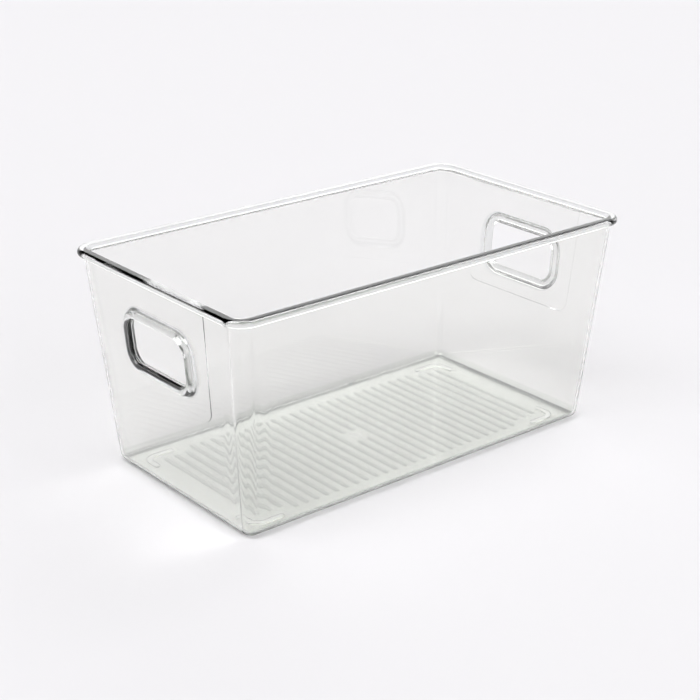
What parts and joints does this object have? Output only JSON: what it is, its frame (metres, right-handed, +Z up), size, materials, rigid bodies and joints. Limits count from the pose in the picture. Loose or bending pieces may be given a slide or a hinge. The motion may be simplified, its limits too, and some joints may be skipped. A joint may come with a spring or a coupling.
{
  "type": "fridge bin",
  "caption": "Clear open-topped storage bin with leaning walls, a rounded rim bead, a collared hand hole in each end wall, a ribbed floor and corner feet.",
  "frame": {"origin": "on the ground under the middle of the bin, where its feet stand", "axes": "+X along the long side, towards the right hand hole; +Y towards the back wall; +Z up"},
  "size_m": [0.32, 0.1816, 0.1485],
  "materials": {
    "clear_plastic": "clear, polished, faint grey-green tint"
  },
  "bodies": {
    "root": {"floor_pan": "clear_plastic", "front_wall": "clear_plastic", "back_wall": "clear_plastic", "left_end_wall": "clear_plastic", "right_end_wall": "clear_plastic", "front_left_corner": "clear_plastic", "front_right_corner": "clear_plastic", "back_left_corner": "clear_plastic", "back_right_corner": "clear_plastic", "rim_bead": "clear_plastic", "left_grip_collar": "clear_plastic", "right_grip_collar": "clear_plastic", "floor_ribs": "clear_plastic", "gate_mark": "clear_plastic", "front_left_foot": "clear_plastic", "front_right_foot": "clear_plastic", "back_left_foot": "clear_plastic", "back_right_foot": "clear_plastic"}
  },
  "joints": []
}
